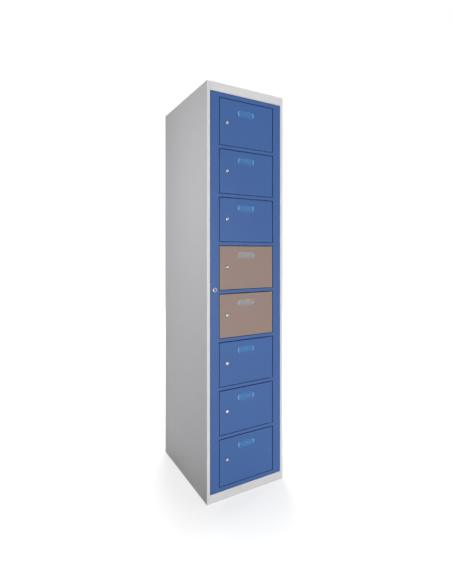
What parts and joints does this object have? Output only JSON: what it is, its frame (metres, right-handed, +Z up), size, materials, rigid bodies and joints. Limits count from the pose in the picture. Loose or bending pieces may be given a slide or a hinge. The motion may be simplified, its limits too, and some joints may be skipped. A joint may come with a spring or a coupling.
{
  "type": "phone locker",
  "caption": "Tall narrow steel locker for phones: small lockable doors one above another, hung in a full-height lockable master door.",
  "frame": {"origin": "on the floor under the middle of the cabinet's footprint", "axes": "+Z up, +X to the right as seen from the front, -Y out of the doors"},
  "size_m": [0.4, 0.503, 1.8],
  "materials": {
    "cabinet_grey": "light grey powder coat, fine texture, satin",
    "door_blue": "blue powder coat, fine texture, satin",
    "door_taupe": "taupe powder coat, fine texture, satin",
    "lock_chrome": "polished chrome plate",
    "zinc_steel": "zinc-plated steel",
    "clear_plastic": "clear bluish moulded plastic"
  },
  "bodies": {
    "cabinet": {"left_side_panel": "cabinet_grey", "right_side_panel": "cabinet_grey", "post_plates": "cabinet_grey", "rear_strips": "cabinet_grey", "back_panel": "cabinet_grey", "roof_panel": "cabinet_grey", "floor_panel": "cabinet_grey", "top_rail": "cabinet_grey", "plinth_rail": "cabinet_grey", "shelves": "cabinet_grey", "master_pivot_pins": "zinc_steel"},
    "master_door": {"master_lock_stile": "door_blue", "master_hinge_stile": "door_blue", "master_rails": "door_blue", "door_pivot_pins": "zinc_steel", "master_lock_housing": "lock_chrome"},
    "master_lock": {"master_lock_plug": "lock_chrome", "master_lock_cam": "zinc_steel"},
    "small_door_1": {"compartment_door_1": "door_blue", "label_holder_1": "clear_plastic", "lock_housing_1": "lock_chrome"},
    "small_lock_1": {"lock_plug_1": "lock_chrome", "lock_cam_1": "zinc_steel"},
    "small_door_2": {"compartment_door_2": "door_blue", "label_holder_2": "clear_plastic", "lock_housing_2": "lock_chrome"},
    "small_lock_2": {"lock_plug_2": "lock_chrome", "lock_cam_2": "zinc_steel"},
    "small_door_3": {"compartment_door_3": "door_blue", "label_holder_3": "clear_plastic", "lock_housing_3": "lock_chrome"},
    "small_lock_3": {"lock_plug_3": "lock_chrome", "lock_cam_3": "zinc_steel"},
    "small_door_4": {"compartment_door_4": "door_taupe", "label_holder_4": "clear_plastic", "lock_housing_4": "lock_chrome"},
    "small_lock_4": {"lock_plug_4": "lock_chrome", "lock_cam_4": "zinc_steel"},
    "small_door_5": {"compartment_door_5": "door_taupe", "label_holder_5": "clear_plastic", "lock_housing_5": "lock_chrome"},
    "small_lock_5": {"lock_plug_5": "lock_chrome", "lock_cam_5": "zinc_steel"},
    "small_door_6": {"compartment_door_6": "door_blue", "label_holder_6": "clear_plastic", "lock_housing_6": "lock_chrome"},
    "small_lock_6": {"lock_plug_6": "lock_chrome", "lock_cam_6": "zinc_steel"},
    "small_door_7": {"compartment_door_7": "door_blue", "label_holder_7": "clear_plastic", "lock_housing_7": "lock_chrome"},
    "small_lock_7": {"lock_plug_7": "lock_chrome", "lock_cam_7": "zinc_steel"},
    "small_door_8": {"compartment_door_8": "door_blue", "label_holder_8": "clear_plastic", "lock_housing_8": "lock_chrome"},
    "small_lock_8": {"lock_plug_8": "lock_chrome", "lock_cam_8": "zinc_steel"}
  },
  "joints": [
    {"name": "master_door_hinge", "type": "hinge", "parent": "cabinet", "child": "master_door", "pos_m": [0.1715, -0.245, 0.9], "axis": [0, 0, 1], "range_deg": [0, 110]},
    {"name": "master_lock_turn", "type": "hinge", "parent": "master_door", "child": "master_lock", "pos_m": [-0.163, -0.25, 0.9095], "axis": [0, 1, 0], "range_deg": [0, 90]},
    {"name": "door_1_hinge", "type": "hinge", "parent": "master_door", "child": "small_door_1", "pos_m": [0.1317, -0.2457, 1.63803], "axis": [0, 0, 1], "range_deg": [0, 110]},
    {"name": "lock_1_turn", "type": "hinge", "parent": "small_door_1", "child": "small_lock_1", "pos_m": [-0.10225, -0.25, 1.63425], "axis": [0, 1, 0], "range_deg": [0, 90]},
    {"name": "door_2_hinge", "type": "hinge", "parent": "master_door", "child": "small_door_2", "pos_m": [0.1317, -0.2457, 1.42259], "axis": [0, 0, 1], "range_deg": [0, 110]},
    {"name": "lock_2_turn", "type": "hinge", "parent": "small_door_2", "child": "small_lock_2", "pos_m": [-0.10225, -0.25, 1.42481], "axis": [0, 1, 0], "range_deg": [0, 90]},
    {"name": "door_3_hinge", "type": "hinge", "parent": "master_door", "child": "small_door_3", "pos_m": [0.1317, -0.2457, 1.21316], "axis": [0, 0, 1], "range_deg": [0, 110]},
    {"name": "lock_3_turn", "type": "hinge", "parent": "small_door_3", "child": "small_lock_3", "pos_m": [-0.10225, -0.25, 1.21538], "axis": [0, 1, 0], "range_deg": [0, 90]},
    {"name": "door_4_hinge", "type": "hinge", "parent": "master_door", "child": "small_door_4", "pos_m": [0.1317, -0.2457, 1.00372], "axis": [0, 0, 1], "range_deg": [0, 110]},
    {"name": "lock_4_turn", "type": "hinge", "parent": "small_door_4", "child": "small_lock_4", "pos_m": [-0.10225, -0.25, 1.00594], "axis": [0, 1, 0], "range_deg": [0, 90]},
    {"name": "door_5_hinge", "type": "hinge", "parent": "master_door", "child": "small_door_5", "pos_m": [0.1317, -0.2457, 0.79428], "axis": [0, 0, 1], "range_deg": [0, 110]},
    {"name": "lock_5_turn", "type": "hinge", "parent": "small_door_5", "child": "small_lock_5", "pos_m": [-0.10225, -0.25, 0.7965], "axis": [0, 1, 0], "range_deg": [0, 90]},
    {"name": "door_6_hinge", "type": "hinge", "parent": "master_door", "child": "small_door_6", "pos_m": [0.1317, -0.2457, 0.58484], "axis": [0, 0, 1], "range_deg": [0, 110]},
    {"name": "lock_6_turn", "type": "hinge", "parent": "small_door_6", "child": "small_lock_6", "pos_m": [-0.10225, -0.25, 0.58706], "axis": [0, 1, 0], "range_deg": [0, 90]},
    {"name": "door_7_hinge", "type": "hinge", "parent": "master_door", "child": "small_door_7", "pos_m": [0.1317, -0.2457, 0.37541], "axis": [0, 0, 1], "range_deg": [0, 110]},
    {"name": "lock_7_turn", "type": "hinge", "parent": "small_door_7", "child": "small_lock_7", "pos_m": [-0.10225, -0.25, 0.37762], "axis": [0, 1, 0], "range_deg": [0, 90]},
    {"name": "door_8_hinge", "type": "hinge", "parent": "master_door", "child": "small_door_8", "pos_m": [0.1317, -0.2457, 0.15997], "axis": [0, 0, 1], "range_deg": [0, 110]},
    {"name": "lock_8_turn", "type": "hinge", "parent": "small_door_8", "child": "small_lock_8", "pos_m": [-0.10225, -0.25, 0.16819], "axis": [0, 1, 0], "range_deg": [0, 90]}
  ]
}
